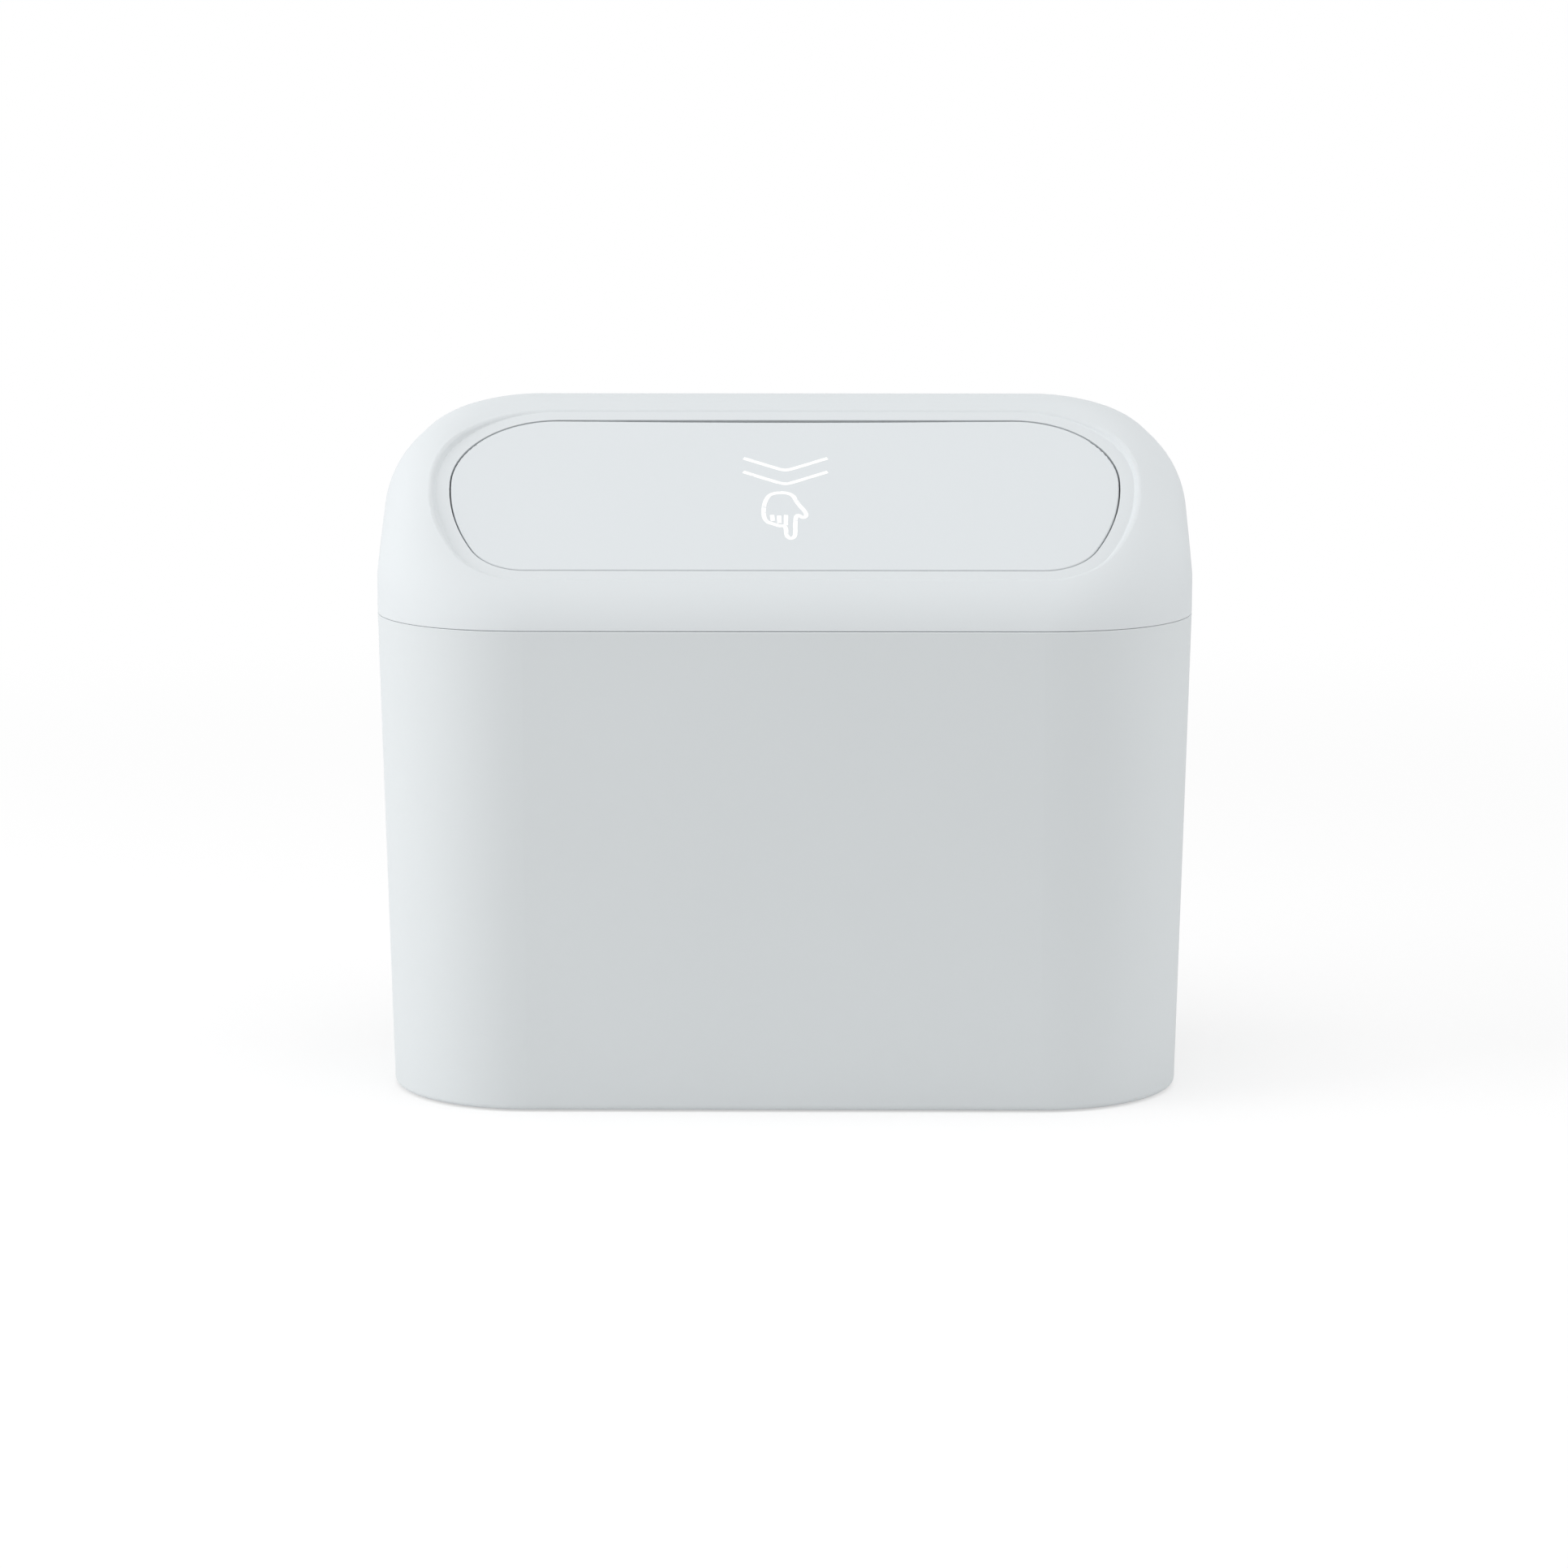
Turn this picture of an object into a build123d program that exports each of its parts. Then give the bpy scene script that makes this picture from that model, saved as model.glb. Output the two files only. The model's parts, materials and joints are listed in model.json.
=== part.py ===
from build123d import *
from math import asin, cos, degrees, radians, sin, tan
import os

# A hanging car trash can: a drafted tub, a hood lid that pulls off, and a sprung push flap.
# Millimetres, +Z up. The origin is the middle of the tub's footprint, on the floor. The plain
# front faces -Y, the hook hangs on the back at +Y, and X runs along the long side.

os.makedirs("parts", exist_ok=True)

# Overall sizes
width = 152.0
depth = 74.0
seam_height = 89.9
corner_radius = 28.6
draft_angle = 1.33
wall = 1.8

# The tub
floor_thickness = 2.6
inside_floor_radius = 3.5
base_edge_radius = 1.0

# The anti-slip pad under the tub
pad_length = 112.0
pad_width = 44.0
pad_thickness = 1.8
pad_stand = 0.3
pad_play = 0.1
pad_edge_radius = 0.3

# The hood: its flat flap plane rises from front to back, and its crest arches over that plane
slope_angle = 30.3
slope_rise = 4.7
crest_bow = 1.2
crest_rear_start = 62.0
crest_rear_radius = 30.0
crest_bow_sweep = 14.0
crest_rear_sweep = 100.0
ring_step = 0.3
rim_radius = 14.0
hood_wall = 2.0
seam_gap = 0.06
seam_edge_radius = 0.15

# The flap, measured along the slope from the line where the front face meets the flap plane
flap_length = 124.8
flap_width = 46.2
flap_front = 10.8
flap_rear_radius = 19.2
flap_end_radius = 46.0
flap_front_radius = 11.0
flap_gap = 0.28
flap_skin = 1.8
flap_edge_radius = 0.3
flap_relief = 0.6
flap_relief_half_length = 50.0

# The dished ring around the flap
ring_width = 2.9
ring_thickness = 2.0
dish_wall_angle = 40.0
dish_floor_radius = 0.3
dish_rim_radius = 0.8
dish_cut_height = 6.0
backing_margin = 2.4

# The hood's plug, which stands in the tub's mouth, and the soft seal in its groove
plug_clearance = 0.35
plug_thickness = 1.5
plug_depth = 7.0
plug_root_height = 2.0
plug_root_inset = 1.7
plug_lead_in = 0.5
seal_drop = 3.6
seal_height = 1.6
seal_stand = 0.2
seal_groove_depth = 0.6

# The flap's stop lip, its edge wall and its stiffening ribs
lip_reach = 2.2
lip_clearance = 0.6
lip_thickness = 1.2
edge_wall = 1.6
rear_free_zone = 7.0
rib_thickness = 1.4
long_rib_half_length = 59.0
cross_rib_count = 5
cross_rib_spacing = 20.0

# The hinge, whose axis lies under the flap's rear edge
axis_inset = 2.5
axis_depth = 5.0
pin_radius = 1.0
pin_fit = 0.05
pin_head_radius = 1.7
pin_head_thickness = 0.8
pin_tip_chamfer = 0.3
ear_radius = 2.4
ear_thickness = 3.0
ear_inner_x = 22.0
ear_outer_x = 37.8
ear_front = 3.7
ear_rear_reach = 8.0
ear_height = 6.4
knuckle_radius = 2.5
knuckle_x = 31.4
knuckle_length = 6.0

# The torsion springs on the pins
wire_radius = 0.35
coil_radius = 2.05
coil_pitch = 0.95
coil_turns = 4
coil_x = 25.6
coil_cut = 0.08
coil_break = 0.35
fixed_leg_length = 6.0
moving_leg_length = 6.4
leg_rest_width = 1.6
leg_rest_length = 2.4

# The stop pads under the front of the ring
stop_pad_x = 30.0
stop_pad_length = 16.0
stop_pad_width = 1.3
stop_pad_inset = 0.8
stop_pad_thickness = 0.9
stop_pad_stand = 0.3

# The rail block on the tub's back, with its T-shaped slot, and the hook that slides down into it
block_half_width = 23.5
block_bottom = 34.0
block_top = 72.0
block_floor = 4.0
block_root = 35.2
block_back = 43.1
block_edge_radius = 1.2
slot_half_width = 17.3
slot_front = 38.3
slot_back = 41.3
slot_mouth_half_width = 12.5
hook_half_width = 17.0
hook_thickness = 2.4
hook_play = 0.3
hook_gap = 11.0
hook_bend_height = 97.0
hook_leg_bottom = 64.0
hook_tip_length = 8.0
hook_tip_flare = 2.2
hook_corner_radius = 7.0
hook_edge_radius = 0.5
cushion_thickness = 1.4
cushion_half_width = 13.0
cushion_bottom = 67.0
cushion_height = 24.0
cushion_corner_radius = 3.0
cushion_edge_radius = 0.5

# Places worked out from the sizes
lid_bottom = seam_height + seam_gap
prism_bottom = 70.0
prism_height = 75.0
slope_cos = cos(radians(slope_angle))
slope_sin = sin(radians(slope_angle))
slope_direction = Vector(0, slope_cos, slope_sin)
slope_normal = Vector(0, -slope_sin, slope_cos)
flap_plane = Plane(
    origin=(0, -depth / 2, seam_height + slope_rise), x_dir=(1, 0, 0), z_dir=slope_normal
)
flap_rear = flap_front + flap_width
flap_widest = flap_rear - flap_rear_radius
ring_low = flap_front - ring_width
ring_high = flap_rear + ring_width
axis_v = flap_rear - axis_inset
axis_centre = flap_plane.from_local_coords(Vector(0, axis_v, -axis_depth))
lip_top = ring_thickness + lip_clearance
lip_bottom = lip_top + lip_thickness
stop_pad_v = flap_front - flap_gap - stop_pad_inset
free_high = axis_v - rear_free_zone
leg_rest_drop = axis_depth - coil_radius - wire_radius
moving_leg_x = coil_x + (coil_turns + 1) * coil_pitch + coil_break


def plan_shape(inset):
    """The rounded plan outline, drawn inwards by inset."""
    with BuildSketch() as shape:
        RectangleRounded(width - 2 * inset, depth - 2 * inset, corner_radius - inset)
    return shape.sketch


def plan_ring(outer_inset, inner_inset):
    """The band between the plan outline drawn inwards by two insets."""
    with BuildSketch() as shape:
        add(plan_shape(outer_inset))
        add(plan_shape(inner_inset), mode=Mode.SUBTRACT)
    return shape.sketch


def flap_shape(grow):
    """The flap's outline in the flap plane's own coordinates, grown by an even margin."""
    centre_step = flap_end_radius - flap_front_radius
    turn = asin((flap_widest - flap_front - flap_front_radius) / centre_step)
    end_centre_x = flap_length / 2 - flap_end_radius
    front_centre = (end_centre_x + centre_step * cos(turn), flap_front + flap_front_radius)
    rear_centre = (flap_length / 2 - flap_rear_radius, flap_widest)
    with BuildSketch() as shape:
        with BuildLine():
            Line((0, flap_front - grow), (front_centre[0], flap_front - grow))
            CenterArc(front_centre, flap_front_radius + grow, -90, 90 - degrees(turn))
            CenterArc(
                (end_centre_x, flap_widest), flap_end_radius + grow, -degrees(turn), degrees(turn)
            )
            CenterArc(rear_centre, flap_rear_radius + grow, 0, 90)
            Line((rear_centre[0], flap_rear + grow), (0, flap_rear + grow))
            mirror(about=Plane.YZ)
        make_face()
    return shape.sketch


def free_edge_shape(grow):
    """The band along the flap's front and ends that is clear of the hinge."""
    with BuildSketch() as shape:
        add(flap_shape(grow))
        add(flap_shape(-edge_wall), mode=Mode.SUBTRACT)
        with Locations((0, free_high)):
            Rectangle(2 * flap_length, flap_width, align=(Align.CENTER, Align.MIN), mode=Mode.SUBTRACT)
    return shape.sketch


def hood_form(inset):
    """The hood's outer form, drawn inwards by inset, reaching a little below the seam."""
    half_chord = (ring_high - ring_low) / 2
    bow_radius = half_chord**2 / (2 * crest_bow) + crest_bow / 2
    bow_centre = Vector((ring_low + ring_high) / 2, crest_bow + ring_step - bow_radius)
    bow_turn = asin((crest_rear_start - bow_centre.X) / bow_radius)
    join_direction = Vector(sin(bow_turn), cos(bow_turn))
    rear_centre = bow_centre + join_direction * (bow_radius - crest_rear_radius)
    side_plane = Plane(
        origin=flap_plane.origin, x_dir=slope_direction, z_dir=(1, 0, 0)
    )
    with BuildPart() as form:
        with BuildSketch(Plane.XY.offset(prism_bottom)):
            add(plan_shape(inset))
        extrude(amount=prism_height)
        with BuildSketch(side_plane):
            with BuildLine():
                join_angle = 90 - degrees(bow_turn)
                bow = CenterArc(bow_centre, bow_radius - inset, join_angle, crest_bow_sweep)
                rear = CenterArc(
                    rear_centre, crest_rear_radius - inset, join_angle, -crest_rear_sweep
                )
                low = -prism_height
                Polyline(bow @ 1, ((bow @ 1).X, low), ((rear @ 1).X, low), rear @ 1)
            make_face()
        extrude(amount=width, both=True, mode=Mode.INTERSECT)
        rim = form.edges().filter_by(Axis.Z, reverse=True)
        rim = rim.filter_by_position(Axis.Z, prism_bottom + 1, seam_height + prism_height)
        wall_reach = depth / 2 - inset - 1
        crease = rim.filter_by(Axis.X).filter_by_position(Axis.Y, -wall_reach, wall_reach)
        fillet([edge for edge in rim if edge not in crease], rim_radius - inset)
    return form.part


def wire_coil(leg_length, turns):
    """A straight leg that runs into a wound coil, which climbs the Z axis from the origin."""
    with BuildPart() as coil:
        with BuildLine() as path:
            leg = Line((coil_radius, -leg_length, 0), (coil_radius, 0, 0))
            Helix(pitch=coil_pitch, height=turns * coil_pitch, radius=coil_radius)
        with BuildSketch(Plane(origin=leg @ 0, z_dir=leg % 0)):
            Circle(wire_radius)
        sweep(path=path.wires()[0], is_frenet=True)
    return coil.part


def hinge_plane(x):
    """A plane across the hinge axis at x, with its own x up the slope and its y outwards."""
    return Plane(
        origin=axis_centre + Vector(x, 0, 0), x_dir=slope_direction, z_dir=(1, 0, 0)
    )


# The tub: a drafted box with a T-slotted rail block moulded on its back
with BuildPart() as bin_body:
    with BuildSketch(Plane.XY.offset(seam_height)):
        add(plan_shape(0))
    extrude(amount=seam_height - pad_stand, dir=(0, 0, -1), taper=draft_angle)
    fillet(bin_body.faces().sort_by(Axis.Z)[0].edges(), base_edge_radius)
    fillet(bin_body.faces().sort_by(Axis.Z)[-1].edges(), seam_edge_radius)
    block_middle = (block_root + block_back) / 2
    with BuildSketch(Plane.XY.offset(block_bottom)):
        with Locations((0, block_middle)):
            Rectangle(2 * block_half_width, block_back - block_root)
    extrude(amount=block_top - block_bottom)
    fillet(
        bin_body.edges().filter_by(Axis.Z).sort_by(Axis.Y)[-2:], block_edge_radius
    )
    with BuildSketch(Plane.XY.offset(block_bottom + block_floor)):
        with Locations((0, (slot_front + slot_back) / 2)):
            Rectangle(2 * slot_half_width, slot_back - slot_front)
        with Locations((0, (slot_back + block_back) / 2)):
            Rectangle(2 * slot_mouth_half_width, block_back - slot_back + 1)
    extrude(amount=block_top - block_bottom, mode=Mode.SUBTRACT)
    with BuildSketch(Plane.XY.offset(seam_height)):
        add(plan_shape(wall))
    inside_depth = seam_height - pad_stand - floor_thickness
    extrude(
        amount=inside_depth, dir=(0, 0, -1), taper=draft_angle, mode=Mode.SUBTRACT
    )
    inside_floor = pad_stand + floor_thickness
    floor_edges = bin_body.edges().filter_by_position(
        Axis.Z, inside_floor - 0.01, inside_floor + 0.01
    )
    fillet(floor_edges, inside_floor_radius)
    with BuildSketch(Plane.XY.offset(pad_stand)):
        RectangleRounded(
            pad_length + 2 * pad_play, pad_width + 2 * pad_play, pad_width / 2
        )
    extrude(amount=pad_thickness - pad_stand, mode=Mode.SUBTRACT)

bin_body.part.label = "bin_body"
export_step(bin_body.part, "parts/bin_body.step")

# The anti-slip pad, bonded into the recess under the tub
with BuildPart() as base_pad:
    with BuildSketch(Plane.XY):
        RectangleRounded(pad_length, pad_width, pad_width / 2 - pad_play)
    extrude(amount=pad_thickness)
    fillet(base_pad.faces().sort_by(Axis.Z)[0].edges(), pad_edge_radius)

base_pad.part.label = "base_pad"
export_step(base_pad.part, "parts/base_pad.step")

# The hollow under the hood, less the backing that carries the dished ring
hood_inside = hood_form(hood_wall)
with BuildPart() as hollow:
    add(hood_inside)
    with BuildSketch(flap_plane.offset(-ring_thickness)):
        add(flap_shape(ring_width + backing_margin))
    extrude(amount=prism_height, mode=Mode.SUBTRACT)

# The dish that is cut out of the hood around the flap
with BuildPart() as dish:
    with BuildSketch(flap_plane):
        add(flap_shape(ring_width))
    extrude(amount=dish_cut_height, taper=-dish_wall_angle)
    dish_floor = dish.faces().filter_by(flap_plane).sort_by(Axis.Z)[0]
    fillet(dish_floor.edges(), dish_floor_radius)

# The hood lid: shell, dished ring, plug, and the ears that carry the hinge pins
hood_outside = hood_form(0)
with BuildPart() as hood_shell:
    add(hood_outside)
    split(bisect_by=Plane.XY.offset(lid_bottom), keep=Keep.TOP)
    fillet(hood_shell.faces().sort_by(Axis.Z)[0].edges(), seam_edge_radius)

plug_inset = wall + plug_clearance
plug_inner_inset = plug_inset + plug_thickness
draft_slope = tan(radians(draft_angle))
seal_middle_inset = plug_inset + (seal_drop + seal_height / 2) * draft_slope
seal_plane = Plane.XY.offset(lid_bottom - seal_drop - seal_height)
with BuildPart() as lid_cover:
    add(hood_shell.part)
    add(dish.part, mode=Mode.SUBTRACT)
    dish_rim = new_edges(hood_shell.part, dish.part, combined=lid_cover.part)
    fillet(dish_rim, dish_rim_radius)
    add(hollow.part, mode=Mode.SUBTRACT)
    with BuildSketch(flap_plane.offset(-ring_thickness - 1)):
        add(flap_shape(flap_gap))
    extrude(amount=rim_radius, mode=Mode.SUBTRACT)

    with BuildSketch(Plane.XY.offset(lid_bottom)):
        add(plan_ring(plug_root_inset, plug_inner_inset))
    extrude(amount=plug_root_height)
    with BuildSketch(Plane.XY.offset(lid_bottom)):
        add(plan_ring(plug_inset, plug_inner_inset))
    extrude(amount=plug_depth + seam_gap, dir=(0, 0, -1), taper=draft_angle)
    chamfer(lid_cover.faces().sort_by(Axis.Z)[0].edges(), plug_lead_in)

    with BuildSketch(seal_plane):
        add(plan_ring(wall, plug_inset + seal_groove_depth))
    extrude(amount=seal_height, mode=Mode.SUBTRACT)

    for ear_x in (ear_inner_x, ear_outer_x, -ear_inner_x, -ear_outer_x):
        outwards = 1 if ear_x > 0 else -1
        with BuildSketch(hinge_plane(ear_x)):
            Circle(ear_radius)
            with Locations((ear_rear_reach / 2, 0)):
                Rectangle(ear_rear_reach, 2 * ear_radius)
            with Locations((ear_front, -ear_radius)):
                Rectangle(ear_rear_reach - ear_front, ear_height, align=(Align.MIN, Align.MIN))
            Circle(pin_radius, mode=Mode.SUBTRACT)
        extrude(amount=outwards * ear_thickness)

    for rest_x in (-coil_x, coil_x):
        with BuildSketch(flap_plane.offset(-leg_rest_drop)):
            with Locations((rest_x, axis_v + fixed_leg_length)):
                Rectangle(leg_rest_width, leg_rest_length, align=(Align.CENTER, Align.MAX))
        extrude(amount=leg_rest_drop - ring_thickness / 2)

    for pad_x in (-stop_pad_x, stop_pad_x):
        with BuildSketch(flap_plane.offset(-ring_thickness)):
            with Locations((pad_x, stop_pad_v)):
                Rectangle(stop_pad_length, stop_pad_width)
        extrude(amount=stop_pad_thickness - stop_pad_stand, mode=Mode.SUBTRACT)

lid_cover.part.label = "lid_cover"
export_step(lid_cover.part, "parts/lid_cover.step")

# The soft seal in the plug's groove
with BuildPart() as lid_seal:
    with BuildSketch(seal_plane):
        add(plan_ring(seal_middle_inset - seal_stand, plug_inset + seal_groove_depth))
    extrude(amount=seal_height)

lid_seal.part.label = "lid_seal"
export_step(lid_seal.part, "parts/lid_seal.step")

# The flap: a flat skin with an edge wall, a stop lip that reaches under the ring, ribs and knuckles
with BuildPart() as flap_panel:
    with BuildSketch(flap_plane):
        add(flap_shape(0))
    extrude(amount=-flap_skin)
    fillet(flap_panel.faces().filter_by(flap_plane).sort_by(Axis.Z)[-1].edges(), flap_edge_radius)
    with BuildSketch(flap_plane):
        with BuildLine():
            relief = ThreePointArc(
                (-flap_relief_half_length, flap_rear),
                (0, flap_rear - flap_relief),
                (flap_relief_half_length, flap_rear),
            )
            Polyline(relief @ 1, (0, flap_rear + flap_width), relief @ 0)
        make_face()
    extrude(amount=-flap_skin, mode=Mode.SUBTRACT)
    with BuildSketch(flap_plane.offset(-lip_bottom)):
        add(free_edge_shape(0))
    extrude(amount=lip_bottom - flap_skin)
    with BuildSketch(flap_plane.offset(-lip_bottom)):
        add(free_edge_shape(lip_reach))
    extrude(amount=lip_thickness)
    with BuildSketch(flap_plane.offset(-lip_bottom)):
        with Locations((0, free_high - rib_thickness / 2)):
            Rectangle(2 * long_rib_half_length, rib_thickness)
        rib_low = flap_front + edge_wall / 2
        with Locations((0, (rib_low + free_high) / 2)):
            with GridLocations(cross_rib_spacing, 1, cross_rib_count, 1):
                Rectangle(rib_thickness, free_high - rib_low)
    extrude(amount=lip_bottom - flap_skin)
    for knuckle_start in (knuckle_x, -knuckle_x - knuckle_length):
        with BuildSketch(hinge_plane(knuckle_start)):
            Circle(knuckle_radius)
            Rectangle(
                2 * knuckle_radius, axis_depth - flap_skin / 2, align=(Align.CENTER, Align.MIN)
            )
            Circle(pin_radius + pin_fit, mode=Mode.SUBTRACT)
        extrude(amount=knuckle_length)
    for rest_x in (-moving_leg_x, moving_leg_x):
        with BuildSketch(flap_plane.offset(-leg_rest_drop)):
            with Locations((rest_x, axis_v - moving_leg_length)):
                Rectangle(leg_rest_width, leg_rest_length, align=(Align.CENTER, Align.MIN))
        extrude(amount=leg_rest_drop - flap_skin)

flap_panel.part.label = "flap_panel"
export_step(flap_panel.part, "parts/flap_panel.step")

for name, side in (("left", -1), ("right", 1)):
    # A hinge pin: a headed steel pin through the two ears and the flap's knuckle
    with BuildPart() as hinge_pin:
        with BuildSketch(hinge_plane(side * (ear_inner_x - pin_head_thickness))):
            Circle(pin_radius)
        pin_length = ear_outer_x + ear_thickness - ear_inner_x + pin_head_thickness
        extrude(amount=side * pin_length)
        with BuildSketch(hinge_plane(side * (ear_outer_x + ear_thickness))):
            Circle(pin_head_radius)
        extrude(amount=side * pin_head_thickness)
        tip = hinge_pin.faces().filter_by(Axis.X).sort_by(Axis.X)[0 if side > 0 else -1]
        chamfer(tip.edges(), pin_tip_chamfer)
    hinge_pin.part.label = f"hinge_pin_{name}"
    export_step(hinge_pin.part, f"parts/hinge_pin_{name}.step")

    # A stop pad, bonded in its pocket under the front of the ring
    with BuildPart() as stop_pad:
        with BuildSketch(flap_plane.offset(-ring_thickness - stop_pad_stand)):
            with Locations((side * stop_pad_x, stop_pad_v)):
                Rectangle(stop_pad_length, stop_pad_width)
        extrude(amount=stop_pad_thickness)
    stop_pad.part.label = f"stop_pad_{name}"
    export_step(stop_pad.part, f"parts/stop_pad_{name}.step")

    # A torsion spring's coil and fixed leg, which presses up under the ring behind the flap
    coil_plane = Plane(
        origin=axis_centre + Vector(coil_x, 0, 0), x_dir=slope_normal, z_dir=(1, 0, 0)
    )
    coil = wire_coil(fixed_leg_length, coil_turns)
    with BuildPart() as spring:
        with Locations(coil_plane.location):
            add(coil)
        if side < 0:
            mirror(about=Plane.YZ, mode=Mode.REPLACE)
    spring.part.label = f"spring_{name}"
    export_step(spring.part, f"parts/spring_{name}.step")

    # The same spring's last turn and moving leg, which presses up under the flap
    leg_plane = Plane(
        origin=axis_centre + Vector(moving_leg_x, 0, 0), x_dir=slope_normal, z_dir=(-1, 0, 0)
    )
    last_turn = wire_coil(moving_leg_length, 1 - coil_cut)
    with BuildPart() as spring_leg:
        with Locations(leg_plane.location):
            add(last_turn)
        if side < 0:
            mirror(about=Plane.YZ, mode=Mode.REPLACE)
    spring_leg.part.label = f"spring_leg_{name}"
    export_step(spring_leg.part, f"parts/spring_leg_{name}.step")

# The hanging hook: a plate that slides down into the rail block, and bends over and down again
plate_front = slot_front + hook_play
plate_back = plate_front + hook_thickness
leg_front = plate_back + hook_gap
leg_back = leg_front + hook_thickness
bend_middle = (plate_front + leg_back) / 2
plate_bottom = block_bottom + block_floor + hook_play
tip_top = hook_leg_bottom + hook_tip_length
with BuildPart() as hanging_hook:
    with BuildSketch(Plane.YZ):
        with BuildLine():
            Line((plate_front, plate_bottom), (plate_front, hook_bend_height))
            ThreePointArc(
                (plate_front, hook_bend_height),
                (bend_middle, hook_bend_height + leg_back - bend_middle),
                (leg_back, hook_bend_height),
            )
            Polyline(
                (leg_back, hook_bend_height),
                (leg_back, tip_top),
                (leg_back + hook_tip_flare, hook_leg_bottom),
                (leg_front + hook_tip_flare, hook_leg_bottom),
                (leg_front, tip_top),
                (leg_front, hook_bend_height),
            )
            ThreePointArc(
                (leg_front, hook_bend_height),
                (bend_middle, hook_bend_height + leg_front - bend_middle),
                (plate_back, hook_bend_height),
            )
            Polyline(
                (plate_back, hook_bend_height),
                (plate_back, plate_bottom),
                (plate_front, plate_bottom),
            )
        make_face()
    extrude(amount=hook_half_width, both=True)
    tip_corners = hanging_hook.edges().filter_by(Axis.Y).filter_by_position(
        Axis.Z, hook_leg_bottom - 1, hook_leg_bottom + 1
    )
    fillet(tip_corners, hook_corner_radius)
    hook_sides = hanging_hook.faces().filter_by(Axis.X)
    fillet(hook_sides.edges().filter_by(Axis.Y, reverse=True), hook_edge_radius)

hanging_hook.part.label = "hanging_hook"
export_step(hanging_hook.part, "parts/hanging_hook.step")

# The soft strip bonded to the hook's inner face
with BuildPart() as hook_cushion:
    with BuildSketch(Plane.XZ.offset(-leg_front)):
        with Locations((0, cushion_bottom)):
            Rectangle(2 * cushion_half_width, cushion_height, align=(Align.CENTER, Align.MIN))
    extrude(amount=cushion_thickness)
    fillet(hook_cushion.edges().filter_by(Axis.Y), cushion_corner_radius)
    fillet(hook_cushion.faces().sort_by(Axis.Y)[0].edges(), cushion_edge_radius)

hook_cushion.part.label = "hook_cushion"
export_step(hook_cushion.part, "parts/hook_cushion.step")
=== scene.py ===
import json
import math

import bpy
import numpy as np
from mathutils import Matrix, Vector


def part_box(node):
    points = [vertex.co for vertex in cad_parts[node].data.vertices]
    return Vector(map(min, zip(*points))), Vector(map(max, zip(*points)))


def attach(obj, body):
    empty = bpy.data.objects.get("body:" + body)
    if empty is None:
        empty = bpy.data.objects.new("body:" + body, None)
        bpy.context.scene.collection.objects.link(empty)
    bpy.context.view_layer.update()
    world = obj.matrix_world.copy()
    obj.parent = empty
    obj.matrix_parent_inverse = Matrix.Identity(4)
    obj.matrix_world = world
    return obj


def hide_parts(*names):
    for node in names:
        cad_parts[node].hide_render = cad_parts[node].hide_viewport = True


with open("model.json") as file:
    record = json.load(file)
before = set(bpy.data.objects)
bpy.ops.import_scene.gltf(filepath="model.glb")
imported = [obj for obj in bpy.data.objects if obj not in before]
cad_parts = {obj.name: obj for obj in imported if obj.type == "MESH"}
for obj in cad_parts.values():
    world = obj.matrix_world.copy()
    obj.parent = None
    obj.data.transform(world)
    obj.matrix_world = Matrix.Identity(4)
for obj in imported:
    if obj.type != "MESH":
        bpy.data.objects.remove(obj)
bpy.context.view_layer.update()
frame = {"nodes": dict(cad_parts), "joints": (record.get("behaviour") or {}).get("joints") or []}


# The tub: one thin drafted shell with a T-slotted rail block on its back, injection moulded in light
# cool-grey polypropylene. The mould's spark-eroded walls leave a fine pebbled, matt skin.
def feed(tree, term, socket):
    """Gives an input its term, which is another node's output or a plain value."""
    if isinstance(term, bpy.types.NodeSocket):
        tree.links.new(term, socket)
    else:
        socket.default_value = term


def shader_node(tree, kind, **terms):
    """Adds a shader node and feeds its named inputs, with underscores for the spaces."""
    node = tree.nodes.new("ShaderNode" + kind)
    for name, term in terms.items():
        feed(tree, term, node.inputs[name.replace("_", " ")])
    return node


def calculate(tree, operation, *terms):
    """Adds a math node on terms that are sockets or plain numbers, and returns its result."""
    node = tree.nodes.new("ShaderNodeMath")
    node.operation = operation
    for term, socket in zip(terms, node.inputs):
        feed(tree, term, socket)
    return node.outputs[0]


def noise(tree, place, scale, **values):
    """Noise from 0 to 1 at a place, whose swells are about one metre over the scale wide."""
    return shader_node(tree, "TexNoise", Vector=place, Scale=scale, **values).outputs["Fac"]


def raised(tree, height, depth):
    """The normal of a skin that stands out by a depth in metres times a height from 0 to 1."""
    return shader_node(tree, "Bump", Strength=1.0, Distance=depth, Height=height).outputs["Normal"]


def shade_of(tree, colour, brightness):
    """The colour multiplied by a brightness that varies over the surface."""
    shade = tree.nodes.new("ShaderNodeVectorMath")
    shade.operation = "SCALE"
    tree.links.new(colour, shade.inputs[0])
    tree.links.new(brightness, shade.inputs["Scale"])
    return shade.outputs[0]


def start_group(name, given, results):
    """A new node group with its inputs and outputs, each named with its kind of socket."""
    group = bpy.data.node_groups.new(name, "ShaderNodeTree")
    for direction, sockets in (("INPUT", given), ("OUTPUT", results)):
        for socket_name, kind in sockets.items():
            group.interface.new_socket(socket_name, in_out=direction, socket_type="NodeSocket" + kind)
    return group, group.nodes.new("NodeGroupInput").outputs, group.nodes.new("NodeGroupOutput").inputs


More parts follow.
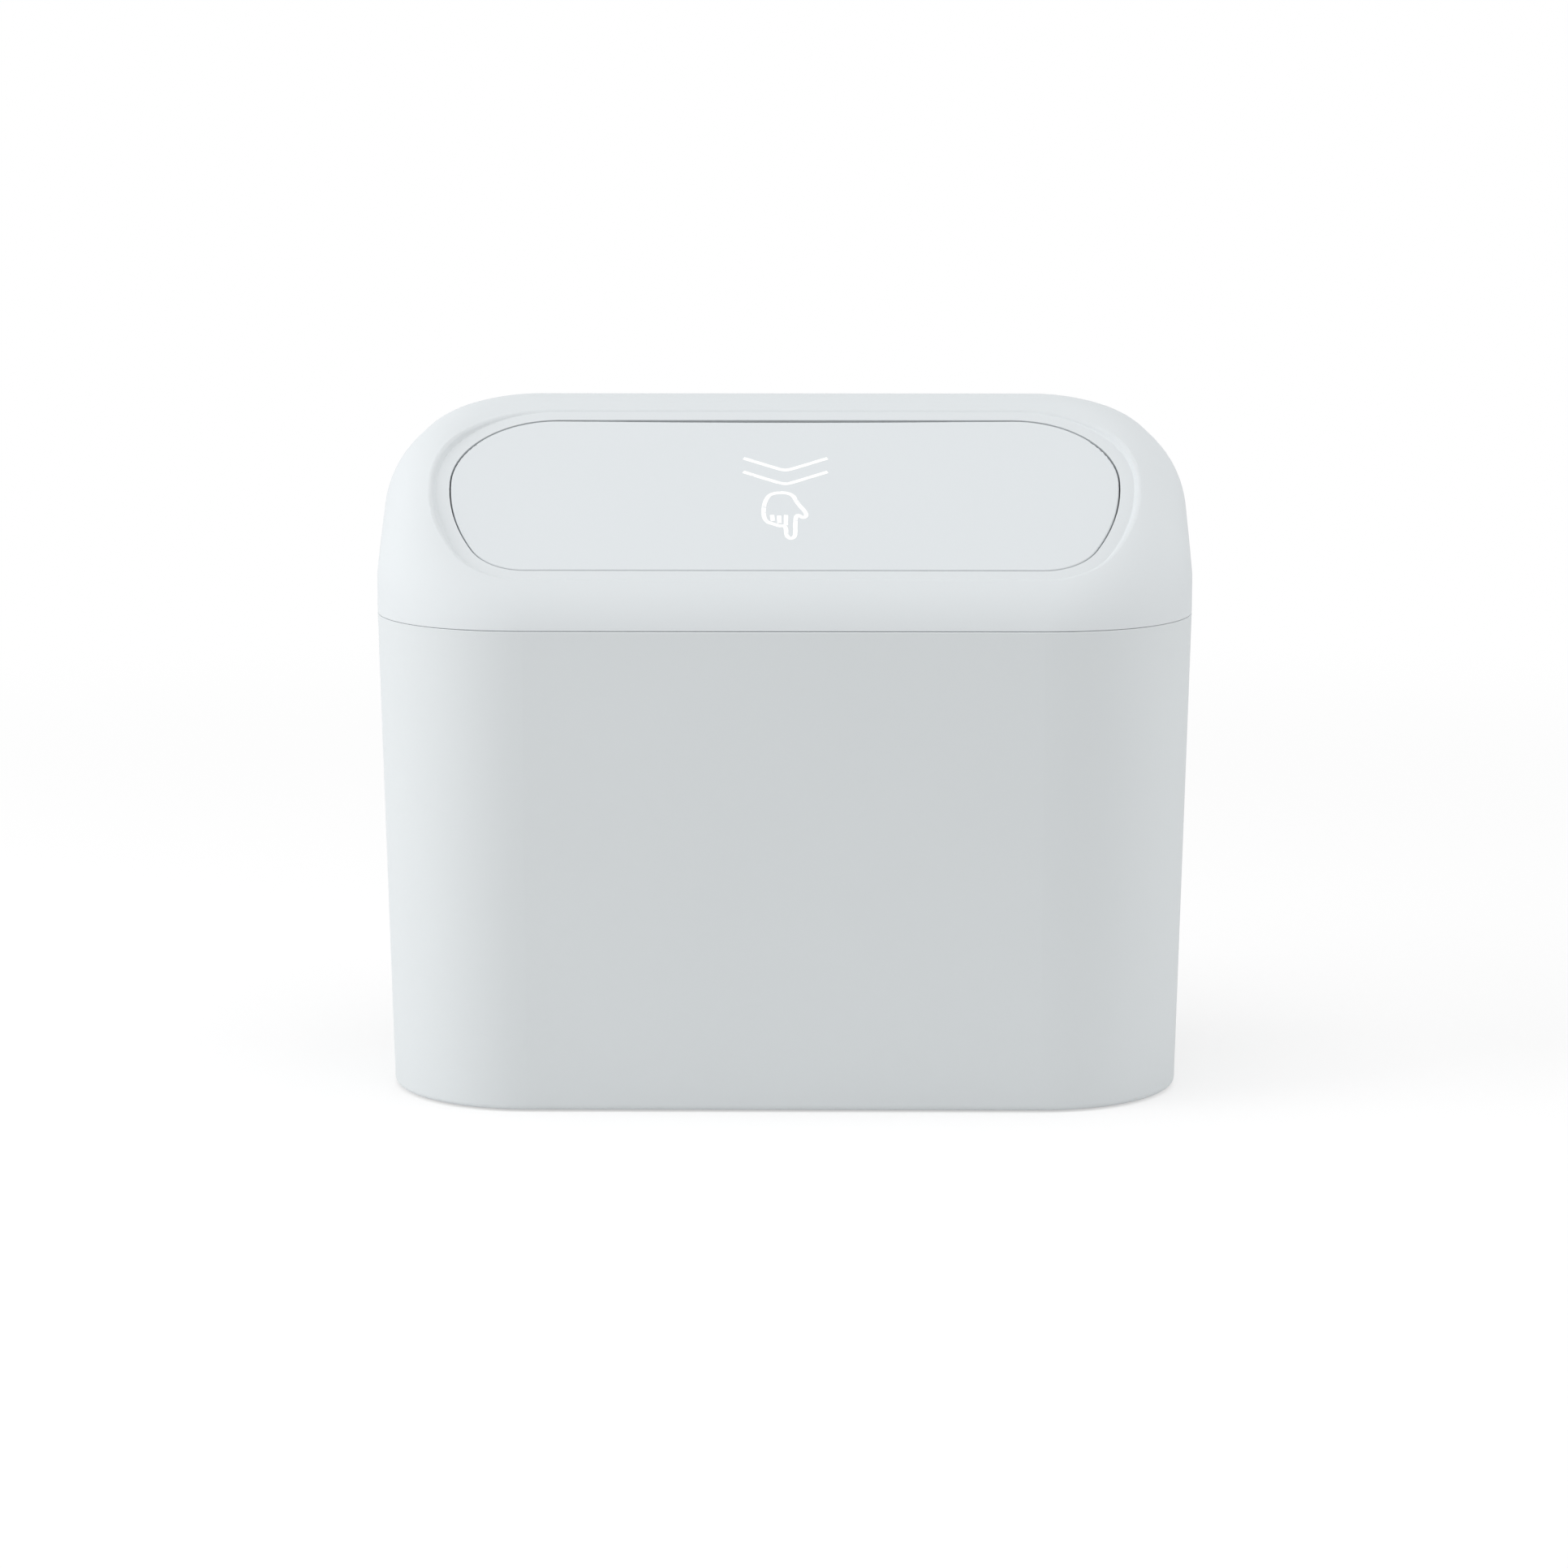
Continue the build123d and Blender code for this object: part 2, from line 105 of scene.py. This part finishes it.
def moulded_skin_group():
    """A moulded skin. Its colour drifts with slow noise. Fine noise is its pebbles, which also make
    the gloss uneven, and the edges, where a rounded normal departs from the true one, are painted
    lighter, a painted highlight, and rubbed smoother."""
    edge_gain = 3.0
    painted_edge_highlight = 0.08
    rub_polish = 0.18
    pebble_matt = 0.12
    group, given, result = start_group(
        "moulded_skin",
        {
            "Colour": "Color",
            "Drift": "Float",
            "Pebble Size": "Float",
            "Pebble Depth": "Float",
            "Matt": "Float",
        },
        {"Colour": "Color", "Roughness": "Float", "Normal": "Vector"},
    )
    links = group.links
    place = shader_node(group, "TexCoord").outputs["Object"]
    slow = noise(group, place, scale=24.0, Detail=4.0)
    swing = calculate(group, "SUBTRACT", slow, 0.5)
    drift = calculate(group, "MULTIPLY_ADD", swing, given["Drift"], 1.0)

    pebble_scale = calculate(group, "DIVIDE", 1.0, given["Pebble Size"])
    pebbles = noise(group, place, pebble_scale, Detail=2.0, Roughness=0.6)
    links.new(raised(group, pebbles, given["Pebble Depth"]), result["Normal"])

    alike = group.nodes.new("ShaderNodeVectorMath")
    alike.operation = "DOT_PRODUCT"
    links.new(shader_node(group, "Bevel", Radius=0.0005).outputs["Normal"], alike.inputs[0])
    links.new(shader_node(group, "NewGeometry").outputs["Normal"], alike.inputs[1])
    unlike = calculate(group, "SUBTRACT", 1.0, alike.outputs["Value"])
    edge = calculate(group, "MINIMUM", calculate(group, "MULTIPLY", unlike, edge_gain), 1.0)
    # The edges are painted lighter here, a painted highlight where light would catch them, and their
    # gloss is made smoother.
    edge_highlight_and_rub = calculate(group, "MULTIPLY", edge, slow)
    brightness = calculate(group, "MULTIPLY_ADD", edge_highlight_and_rub, painted_edge_highlight, drift)
    links.new(shade_of(group, given["Colour"], brightness), result["Colour"])
    uneven = calculate(group, "MULTIPLY_ADD", pebbles, pebble_matt, given["Matt"])
    links.new(calculate(group, "MULTIPLY_ADD", edge_highlight_and_rub, -rub_polish, uneven), result["Roughness"])
    return group


moulded_skin = moulded_skin_group()


def skinned_material(name, group, specular, metallic=0.0, **values):
    """A material whose colour, roughness and normal come from a skin group's pattern, which the
    named values set, with underscores for the spaces."""
    material = bpy.data.materials.new(name)
    material.use_nodes = True
    tree = material.node_tree
    shader = tree.nodes["Principled BSDF"]
    skin = tree.nodes.new("ShaderNodeGroup")
    skin.node_tree = group
    for socket_name, value in values.items():
        skin.inputs[socket_name.replace("_", " ")].default_value = value
    tree.links.new(skin.outputs["Colour"], shader.inputs["Base Color"])
    tree.links.new(skin.outputs["Roughness"], shader.inputs["Roughness"])
    tree.links.new(skin.outputs["Normal"], shader.inputs["Normal"])
    shader.inputs["Specular IOR Level"].default_value = specular
    shader.inputs["Metallic"].default_value = metallic
    return material


def dress(material, *nodes):
    """Puts the material on pieces that are carried over from the solids."""
    for node in nodes:
        for material_slot in frame["nodes"][node].material_slots:
            material_slot.material = material


plastic_specular = 0.16
tub_plastic = skinned_material(
    "tub_plastic",
    moulded_skin,
    specular=plastic_specular,
    Colour=(0.622, 0.650, 0.662, 1.0),
    Drift=0.03,
    Pebble_Size=0.0006,
    Pebble_Depth=0.000015,
    Matt=0.64,
)
dress(tub_plastic, "bin_body")


# The base pad: a dark rubber strip bonded into the recess under the tub, which stops the bin from
# sliding on a seat or console. Wavy channels cross it, inside a plain rim.
def rubber_skin_group():
    """A rubber skin. Its colour drifts with slow noise and is speckled by a pale bloom where fine
    noise is high, and the same fine noise is its grain."""
    speckle_power = 3.0
    drift_matt = 0.15
    group, given, result = start_group(
        "rubber_skin",
        {
            "Colour": "Color",
            "Bloom": "Float",
            "Grain Size": "Float",
            "Grain Depth": "Float",
            "Matt": "Float",
        },
        {"Colour": "Color", "Roughness": "Float", "Normal": "Vector"},
    )
    links = group.links
    place = shader_node(group, "TexCoord").outputs["Object"]
    slow = noise(group, place, scale=60.0, Detail=3.0)
    grain_scale = calculate(group, "DIVIDE", 1.0, given["Grain Size"])
    grain = noise(group, place, grain_scale, Detail=3.0, Roughness=0.7)
    cloud = calculate(group, "MULTIPLY", calculate(group, "POWER", grain, speckle_power), slow)
    brightness = calculate(group, "MULTIPLY_ADD", cloud, given["Bloom"], 1.0)
    links.new(shade_of(group, given["Colour"], brightness), result["Colour"])
    links.new(calculate(group, "MULTIPLY_ADD", slow, drift_matt, given["Matt"]), result["Roughness"])
    links.new(raised(group, grain, given["Grain Depth"]), result["Normal"])
    return group


rubber_skin = rubber_skin_group()


def tube_faces(rings, count, closed):
    """The faces of a tube of this many rings, each of count points. Four-cornered faces join each
    ring to the next one, and the last to the first if the tube is closed. Otherwise a ladder of
    faces fills the first and the last ring, whose rungs join the ring's points from its two ends."""
    ring = np.arange(rings if closed else rings - 1)[:, None]
    column = np.arange(count)[None, :]
    here = ring * count
    ahead = (ring + 1) % rings * count
    following = (column + 1) % count
    skin = np.stack((here + column, ahead + column, ahead + following, here + following), axis=-1)
    skin = skin.reshape(-1, 4)
    if closed:
        return skin
    rung = np.arange(count // 2 - 1)
    first_end = np.stack((rung, rung + 1, count - 2 - rung, count - 1 - rung), axis=-1)
    last_end = first_end[:, ::-1] + (rings - 1) * count
    return np.concatenate((skin, first_end, last_end))


def closed_mesh(name, points, faces):
    """An object whose mesh has these points and faces, turned outwards if they enclose a negative
    volume, and shaded smooth except at edges sharper than the crease angle."""
    crease_angle = math.radians(40)
    mesh = bpy.data.meshes.new(name)
    corners = points[faces]
    first, second, third, fourth = (corners[:, place] for place in range(4))
    volume = np.sum(first * np.cross(second, third)) + np.sum(first * np.cross(third, fourth))
    if volume < 0:
        faces = faces[:, ::-1]
    mesh.from_pydata(points.tolist(), [], faces.tolist())
    mesh.shade_smooth()
    mesh.set_sharp_from_angle(angle=crease_angle)
    piece = bpy.data.objects.new(name, mesh)
    bpy.context.collection.objects.link(piece)
    return piece


def smooth_rise(value, low, high):
    """A smooth step from 0 at low to 1 at high, three times the share's square less twice its cube."""
    share = np.clip((value - low) / (high - low), 0.0, 1.0)
    return share * share * (3.0 - 2.0 * share)


def crowded_places(count, crowding):
    """Places from -1 to 1 that crowd at both ends: an even row, with this share of it replaced by
    the sine of the row times a right angle."""
    even = np.linspace(-1.0, 1.0, count)
    return (1.0 - crowding) * even + crowding * np.sin(even * math.pi / 2)


def soft_block(name, middle, along, across, out, half_length, half_width, corner, height, rounding, cut):
    """A flat-backed soft block on a rounded-rectangle plan, as one closed surface. Each row runs
    across the block, from side to side of its front and back again along its back. The front is
    height less a quarter round of radius rounding near the outline, less cut(s, t, depth), where s
    and t are the places along and across and depth is the distance in from the outline."""
    rows = 241
    columns = 61
    s = half_length * crowded_places(rows, crowding=0.25)
    beyond = np.maximum(np.abs(s) - (half_length - corner), 0.0)
    reach = half_width - corner + np.sqrt(np.maximum(corner**2 - beyond**2, 0.0))
    s_grid = np.repeat(s[:, None], columns, axis=1)
    t_grid = reach[:, None] * crowded_places(columns, crowding=0.5)[None, :]
    past_s = np.abs(s_grid) - (half_length - corner)
    past_t = np.abs(t_grid) - (half_width - corner)
    outside = np.hypot(np.maximum(past_s, 0.0), np.maximum(past_t, 0.0))
    depth = corner - outside - np.minimum(np.maximum(past_s, past_t), 0.0)
    fall = np.maximum(rounding - np.maximum(depth, 0.0), 0.0)
    round_height = np.sqrt(np.maximum(rounding**2 - fall**2, 0.0))
    front = height - rounding + round_height - cut(s_grid, t_grid, depth)
    loop_s = np.concatenate((s_grid, s_grid), axis=1)
    loop_t = np.concatenate((t_grid, t_grid[:, ::-1]), axis=1)
    loop_h = np.concatenate((front, np.zeros_like(front)), axis=1)
    points = (
        np.array(middle)
        + loop_s[..., None] * np.array(along)
        + loop_t[..., None] * np.array(across)
        + loop_h[..., None] * np.array(out)
    )
    return closed_mesh(name, points.reshape(-1, 3), tube_faces(rows, 2 * columns, closed=False))


pad_low, pad_high = (np.array(corner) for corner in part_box("base_pad"))
pad_half_length, pad_half_width, pad_height = (pad_high - pad_low) / (2.0, 2.0, 1.0)
pad_end_flat = 0.0002
pad_rounding = 0.0003
pad_rim = 0.0022
pad_run_out = 0.0006
channel_pitch = 0.0052
channel_depth = 0.0007
channel_wave = 0.0011
channel_wave_length = 0.0125
channel_brink = 0.45
channel_floor = 0.85


def pad_channels(s, t, depth):
    """Channels across the pad at an even pitch, whose line swings along it by a cosine wave. Their
    walls stand where the cosine across them lies between brink and floor, and they run out at the
    pad's rim."""
    swing = s + channel_wave * np.cos(2 * math.pi * t / channel_wave_length)
    crest = np.cos(2 * math.pi * swing / channel_pitch)
    walls = smooth_rise(crest, channel_brink, channel_floor)
    return channel_depth * walls * smooth_rise(depth, pad_rim, pad_rim + pad_run_out)


pad_tread = soft_block(
    "base_pad_tread",
    middle=(0.0, 0.0, pad_high[2]),
    along=(1, 0, 0),
    across=(0, 1, 0),
    out=(0, 0, -1),
    half_length=pad_half_length,
    half_width=pad_half_width,
    corner=pad_half_width - pad_end_flat / 2,
    height=pad_height,
    rounding=pad_rounding,
    cut=pad_channels,
)
rubber_specular = 0.30
pad_rubber = skinned_material(
    "pad_rubber",
    rubber_skin,
    specular=rubber_specular,
    Colour=(0.035, 0.036, 0.038, 1.0),
    Bloom=2.2,
    Grain_Size=0.0004,
    Grain_Depth=0.00003,
    Matt=0.66,
)
pad_tread.data.materials.append(pad_rubber)
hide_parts("base_pad")
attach(pad_tread, "bin")

# The hood lid: the rolled rim, the dished ring round the flap, the plug and the hinge ears, all one
# moulding in the tub's plastic. Its colour is painted a touch lighter and bluer than the tub's,
# painted light that stands in for the light from above on its top.
hood_plastic = skinned_material(
    "hood_plastic",
    moulded_skin,
    specular=plastic_specular,
    Colour=(0.635, 0.663, 0.678, 1.0),
    Drift=0.025,
    Pebble_Size=0.0005,
    Pebble_Depth=0.000012,
    Matt=0.62,
)
dress(hood_plastic, "lid_cover")

# The seal: a soft grey ring of thermoplastic rubber in the plug's groove. It grips the bag and holds
# the lid on the tub by friction.
seal_rubber = skinned_material(
    "seal_rubber",
    rubber_skin,
    specular=rubber_specular,
    Colour=(0.20, 0.21, 0.22, 1.0),
    Bloom=0.8,
    Grain_Size=0.0003,
    Grain_Depth=0.00001,
    Matt=0.55,
)
dress(seal_rubber, "lid_seal")

# The stop pads: two strips of soft foam rubber bonded under the front of the ring, which the flap's
# lip closes against without a click.
stop_rubber = skinned_material(
    "stop_rubber",
    rubber_skin,
    specular=0.20,
    Colour=(0.055, 0.056, 0.060, 1.0),
    Bloom=3.0,
    Grain_Size=0.0002,
    Grain_Depth=0.00006,
    Matt=0.75,
)
dress(stop_rubber, "stop_pad_left", "stop_pad_right")

# The flap: a flat push panel with round ends, moulded in the same plastic, whose colour is painted a
# touch lighter and bluer than the tub's, painted light for the light from above on its slope. A
# pressing hand and two arrowheads behind it are pad-printed in white about the middle of the panel.
flap_plastic = skinned_material(
    "flap_plastic",
    moulded_skin,
    specular=plastic_specular,
    Colour=(0.638, 0.667, 0.684, 1.0),
    Drift=0.02,
    Pebble_Size=0.0005,
    Pebble_Depth=0.000012,
    Matt=0.62,
)
dress(flap_plastic, "flap_panel")

hinge = next(joint for joint in frame["joints"] if joint["name"] == "flap_hinge")
slope_angle = math.radians(30.3)
hinge_up_slope = 0.0545
hinge_depth = 0.005
slope_up = np.array((0.0, math.cos(slope_angle), math.sin(slope_angle)))
slope_out = np.array((0.0, -math.sin(slope_angle), math.cos(slope_angle)))
slope_side = np.array((1.0, 0.0, 0.0))
slope_foot = np.array(hinge["pos_m"]) + hinge_depth * slope_out - hinge_up_slope * slope_up
millimetre = 0.001
ink_width = 0.00082
ink_height = 0.00005
ink_root = 0.00003


def rounded_line(corners, closed):
    """A line along the corners, which are cut off three times over, each time at a quarter of every
    side's length from its ends. An open line keeps its first and last points."""
    line = np.array(corners, float)
    for _ in range(3):
        following = np.roll(line, -1, axis=0)
        near = 0.75 * line + 0.25 * following
        far = 0.25 * line + 0.75 * following
        cut = np.stack((near, far), axis=1).reshape(-1, 2)
        line = cut if closed else np.concatenate((line[:1], cut[:-2], line[-1:]))
    return line


def ink_stroke(corners, closed):
    """A printed stroke: a low domed section carried along a line on the flap's face, a little sunk
    into it. The corners are in millimetres, across the slope and up it. Each section stands across
    the mean direction of the line's two sides there, and is given in widths and heights of the ink,
    with its two lowest points at the root."""
    line = millimetre * rounded_line(corners, closed)
    if closed:
        ahead = np.roll(line, -1, axis=0) - np.roll(line, 1, axis=0)
    else:
        ahead = np.gradient(line, axis=0)
    ahead /= np.linalg.norm(ahead, axis=1, keepdims=True)
    sideways = np.stack((ahead[:, 1], -ahead[:, 0]), axis=1)
    section = np.array(
        ((-0.5, -1), (-0.5, 0.5), (-0.3, 0.9), (-0.1, 1), (0.1, 1), (0.3, 0.9), (0.5, 0.5), (0.5, -1))
    )
    lift = np.where(section[:, 1] < 0, -ink_root, section[:, 1] * ink_height)
    flat = line[:, None, :] + ink_width * section[None, :, :1] * sideways[:, None, :]
    points = (
        slope_foot
        + flat[..., :1] * slope_side
        + flat[..., 1:] * slope_up
        + lift[None, :, None] * slope_out
    )
    return points.reshape(-1, 3), tube_faces(len(line), len(section), closed)


hand_outline = (
    (-2.6, 34.3), (1.3, 34.3), (2.4, 31.0), (4.3, 27.7), (3.6, 26.3), (2.2, 27.9), (2.0, 24.5),
    (2.1, 20.9), (1.2, 20.1), (0.4, 21.0), (0.3, 24.1), (-0.8, 24.0), (-2.0, 24.7), (-3.2, 25.2),
    (-3.9, 27.0), (-3.8, 31.2),
)
finger_lines = (
    ((0.3, 27.4), (0.3, 24.3)),
    ((-1.0, 27.2), (-0.9, 24.9)),
    ((-2.3, 27.4), (-2.1, 25.5)),
)
arrow_corners = ((-7.8, 3.9), (-1.6, 0.7), (0.1, 0.0), (1.8, 0.7), (8.0, 3.9))
arrow_tips = (41.2, 36.9)


def printed_mark():
    """All strokes of the mark as one piece: the hand's outline, its finger lines, and two wide
    arrowheads further up the slope, whose tips point down at the hand."""
    strokes = [ink_stroke(hand_outline, closed=True)]
    strokes += [ink_stroke(line, closed=False) for line in finger_lines]
    strokes += [ink_stroke(np.array(arrow_corners) + (0.0, tip), closed=False) for tip in arrow_tips]
    counts = np.cumsum([0] + [len(points) for points, _ in strokes])
    all_points = np.concatenate([points for points, _ in strokes])
    all_faces = np.concatenate([faces + count for (_, faces), count in zip(strokes, counts)])
    return closed_mesh("flap_mark", all_points, all_faces)


def printed_ink():
    """White pad-printing ink: matt, a little cloudy, and thin where fine noise is low, where the
    grey under it shows through."""
    ink_matt = 0.40
    film_matt = 0.2
    film_depth = 0.000008
    thin_and_full = ((0.28, (0.74, 0.76, 0.77, 1.0)), (0.48, (0.93, 0.93, 0.92, 1.0)))
    material = bpy.data.materials.new("mark_ink")
    material.use_nodes = True
    tree = material.node_tree
    shader = tree.nodes["Principled BSDF"]
    place = shader_node(tree, "TexCoord").outputs["Object"]
    film = noise(tree, place, scale=900.0, Detail=3.0, Roughness=0.6)
    cover = shader_node(tree, "ValToRGB", Fac=film)
    for stop, (position, colour) in zip(cover.color_ramp.elements, thin_and_full):
        stop.position = position
        stop.color = colour
    gloss = calculate(tree, "MULTIPLY_ADD", film, film_matt, ink_matt)
    tree.links.new(cover.outputs["Color"], shader.inputs["Base Color"])
    tree.links.new(gloss, shader.inputs["Roughness"])
    tree.links.new(raised(tree, film, film_depth), shader.inputs["Normal"])
    return material


flap_mark = printed_mark()
flap_mark.data.materials.append(printed_ink())
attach(flap_mark, "flap")


# The hinge pins: bright steel turned on a lathe, pushed through the hood's ears and the flap's
# knuckles from outside until their heads seat.
def bare_steel_group():
    """Bare steel. Noise stretched by Lines along each axis is its tool lines, which vary the gloss
    and the shade and stand a little proud, and slower noise is a thin film of oil."""
    line_shade = 0.20
    oil_shade = 0.15
    line_matt = 0.12
    oil_matt = 0.12
    group, given, result = start_group(
        "bare_steel",
        {"Colour": "Color", "Lines": "Vector", "Line Depth": "Float", "Polish": "Float"},
        {"Colour": "Color", "Roughness": "Float", "Normal": "Vector"},
    )
    links = group.links
    place = shader_node(group, "TexCoord").outputs["Object"]
    stretched = shader_node(group, "Mapping", Vector=place, Scale=given["Lines"]).outputs["Vector"]
    lines = noise(group, stretched, scale=1.0, Detail=3.0)
    oil = noise(group, place, scale=300.0, Detail=2.0)
    shade = calculate(group, "MULTIPLY_ADD", lines, line_shade, 1.0 - line_shade)
    brightness = calculate(group, "MULTIPLY_ADD", oil, oil_shade, shade)
    links.new(shade_of(group, given["Colour"], brightness), result["Colour"])
    film = calculate(group, "MULTIPLY_ADD", oil, oil_matt, given["Polish"])
    links.new(calculate(group, "MULTIPLY_ADD", lines, line_matt, film), result["Roughness"])
    links.new(raised(group, lines, given["Line Depth"]), result["Normal"])
    return group


bare_steel = bare_steel_group()
steel_specular = 0.5
pin_steel = skinned_material(
    "pin_steel",
    bare_steel,
    specular=steel_specular,
    metallic=1.0,
    Colour=(0.60, 0.60, 0.59, 1.0),
    Lines=(9000.0, 400.0, 400.0),
    Line_Depth=0.00001,
    Polish=0.20,
)
dress(pin_steel, "hinge_pin_left", "hinge_pin_right")

# The torsion springs: hard-drawn spring wire wound round the pins, darker than the pins from its
# drawing oil. One leg of each presses up on the hood, and the other on the flap.
spring_steel = skinned_material(
    "spring_steel",
    bare_steel,
    specular=steel_specular,
    metallic=1.0,
    Colour=(0.42, 0.42, 0.43, 1.0),
    Lines=(700.0, 2500.0, 2500.0),
    Line_Depth=0.000006,
    Polish=0.28,
)
dress(spring_steel, "spring_left", "spring_right", "spring_leg_left", "spring_leg_right")

# The hook: a strip moulded in the same plastic, bent over at its top to hang on a pocket's edge, with
# a ridged finger grip on its outer leg. It slides down between the rails on the tub's back.
hook_plastic = skinned_material(
    "hook_plastic",
    moulded_skin,
    specular=plastic_specular,
    Colour=(0.612, 0.640, 0.652, 1.0),
    Drift=0.03,
    Pebble_Size=0.0006,
    Pebble_Depth=0.000018,
    Matt=0.64,
)
dress(hook_plastic, "hanging_hook")
cushion_low, cushion_high = (np.array(corner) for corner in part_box("hook_cushion"))
hook_thickness = 0.0024
grip_root = 0.0001
grip_middle_height = 0.084


def ribs_across(pitch, rib_depth, rim, run_out):
    """A cut for a soft block that leaves even rounded ribs across it, inside a plain rim. It is the
    square of half of one less the cosine along the block, and runs out at the rim."""

    def cut(s, t, depth):
        hollow = 0.5 - 0.5 * np.cos(2 * math.pi * s / pitch)
        return rib_depth * hollow**2 * smooth_rise(depth, rim, rim + run_out)

    return cut


hook_grip = soft_block(
    "hook_grip",
    middle=(0.0, cushion_high[1] + hook_thickness - grip_root, grip_middle_height),
    along=(0, 0, 1),
    across=(1, 0, 0),
    out=(0, 1, 0),
    half_length=0.0072,
    half_width=0.0100,
    corner=0.0030,
    height=0.0007,
    rounding=0.0004,
    cut=ribs_across(pitch=0.0026, rib_depth=0.0005, rim=0.0004, run_out=0.0005),
)
hook_grip.data.materials.append(hook_plastic)
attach(hook_grip, "hook")

# The cushion: a soft dark strip bonded to the hook's inner face, with ribs across it that grip the
# pocket's edge and keep the hook from marking it.
cushion_middle = (cushion_low + cushion_high) / 2
cushion_size = cushion_high - cushion_low
cushion_pad = soft_block(
    "hook_cushion_ribs",
    middle=(cushion_middle[0], cushion_high[1], cushion_middle[2]),
    along=(0, 0, 1),
    across=(1, 0, 0),
    out=(0, -1, 0),
    half_length=cushion_size[2] / 2,
    half_width=cushion_size[0] / 2,
    corner=0.003,
    height=cushion_size[1],
    rounding=0.0005,
    cut=ribs_across(pitch=0.0024, rib_depth=0.0005, rim=0.0013, run_out=0.0007),
)
cushion_rubber = skinned_material(
    "cushion_rubber",
    rubber_skin,
    specular=rubber_specular,
    Colour=(0.040, 0.041, 0.043, 1.0),
    Bloom=1.8,
    Grain_Size=0.0003,
    Grain_Depth=0.00003,
    Matt=0.62,
)
cushion_pad.data.materials.append(cushion_rubber)
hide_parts("hook_cushion")
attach(cushion_pad, "hook")

# The floor: a wide white sheet under the bin, which keeps the bin's soft shadow. Away from the bin it
# fades into the same white as the backdrop.
floor_half_size = 4.0
shadow_radius = 0.22
fade_radius = 0.60
shadow_share = 0.45
floor_mesh = bpy.data.meshes.new("floor")
floor_corners = ((-1, -1), (1, -1), (1, 1), (-1, 1))
floor_points = [(floor_half_size * x, floor_half_size * y, 0.0) for x, y in floor_corners]
floor_mesh.from_pydata(floor_points, [], [(0, 1, 2, 3)])
floor = bpy.data.objects.new("floor", floor_mesh)
bpy.context.collection.objects.link(floor)


def seen_white(tree):
    """How far a ray sees the backdrop as plain white: 1 for the camera's own rays and those that
    reach it by gloss or through glass, and 0 for the light that falls on the bin."""
    rays = shader_node(tree, "LightPath").outputs
    seen = calculate(tree, "MAXIMUM", rays["Is Camera Ray"], rays["Is Glossy Ray"])
    return calculate(tree, "MAXIMUM", seen, rays["Is Transmission Ray"])


def mixed_surface(tree, end_kind, share, first, second):
    """Ends a node tree with two shaders, the second of which has this share of the surface."""
    mix = shader_node(tree, "MixShader", Fac=share)
    tree.links.new(first.outputs[0], mix.inputs[1])
    tree.links.new(second.outputs[0], mix.inputs[2])
    tree.links.new(mix.outputs[0], shader_node(tree, end_kind).inputs["Surface"])


white = (1.0, 1.0, 1.0, 1.0)
floor_paint = bpy.data.materials.new("floor_paint")
floor_paint.use_nodes = True
floor_tree = floor_paint.node_tree
floor_tree.nodes.clear()
from_bin = floor_tree.nodes.new("ShaderNodeVectorMath")
from_bin.operation = "LENGTH"
floor_tree.links.new(shader_node(floor_tree, "TexCoord").outputs["Object"], from_bin.inputs[0])
fade = shader_node(
    floor_tree,
    "MapRange",
    Value=from_bin.outputs["Value"],
    From_Min=shadow_radius,
    From_Max=fade_radius,
    To_Min=1.0 - shadow_share,
    To_Max=1.0,
)
fade.interpolation_type = "SMOOTHSTEP"
mixed_surface(
    floor_tree,
    "OutputMaterial",
    share=calculate(floor_tree, "MULTIPLY", seen_white(floor_tree), fade.outputs["Result"]),
    first=shader_node(floor_tree, "BsdfDiffuse", Color=(0.92, 0.92, 0.92, 1.0)),
    second=shader_node(floor_tree, "Emission", Color=white, Strength=1.0),
)
floor_mesh.materials.append(floor_paint)

# The studio: an even pale room with a strong soft box on the left, a weaker one on the right, and one
# overhead, as for a catalogue picture.
room_strength = 0.53
world = bpy.data.worlds.new("studio")
bpy.context.scene.world = world
world.use_nodes = True
world_tree = world.node_tree
world_tree.nodes.clear()
mixed_surface(
    world_tree,
    "OutputWorld",
    share=seen_white(world_tree),
    first=shader_node(world_tree, "Background", Color=white, Strength=room_strength),
    second=shader_node(world_tree, "Background", Color=white, Strength=1.0),
)
bin_middle = np.array((0.0, 0.0, 0.07))


def soft_box(name, place, size, power):
    """A square soft lamp at place, turned towards the bin's middle."""
    lamp = bpy.data.lights.new(name, "AREA")
    lamp.size = size
    lamp.energy = power
    box = bpy.data.objects.new(name, lamp)
    bpy.context.collection.objects.link(box)
    box.location = place
    right, ahead, up = bin_middle - np.array(place)
    box.rotation_euler = (math.atan2(math.hypot(right, ahead), -up), 0.0, math.atan2(-right, ahead))


soft_box("left_box", place=(-1.1, -0.25, 0.45), size=0.9, power=7.7)
soft_box("right_box", place=(1.1, -0.15, 0.40), size=0.9, power=3.7)
soft_box("top_box", place=(0.0, -0.2, 1.3), size=1.0, power=7.3)

# The camera stands where the photograph was taken from, in front of the bin and a little above its
# crest, and looks down at it through a long lens.
camera_distance = 0.887
camera_height = 0.21295
camera_turn = 0.007146
camera_pitch = 0.175717
camera_data = bpy.data.cameras.new("camera")
camera_data.sensor_width = 36.0
camera_data.lens = 108.87
camera_data.shift_x = -0.0006
camera = bpy.data.objects.new("camera", camera_data)
bpy.context.collection.objects.link(camera)
camera.location = (
    camera_distance * math.sin(camera_turn),
    -camera_distance * math.cos(camera_turn),
    camera_height,
)
camera.rotation_euler = (math.pi / 2 - camera_pitch, 0.0, camera_turn)
bpy.context.scene.camera = camera
bpy.context.scene.view_settings.view_transform = "Standard"
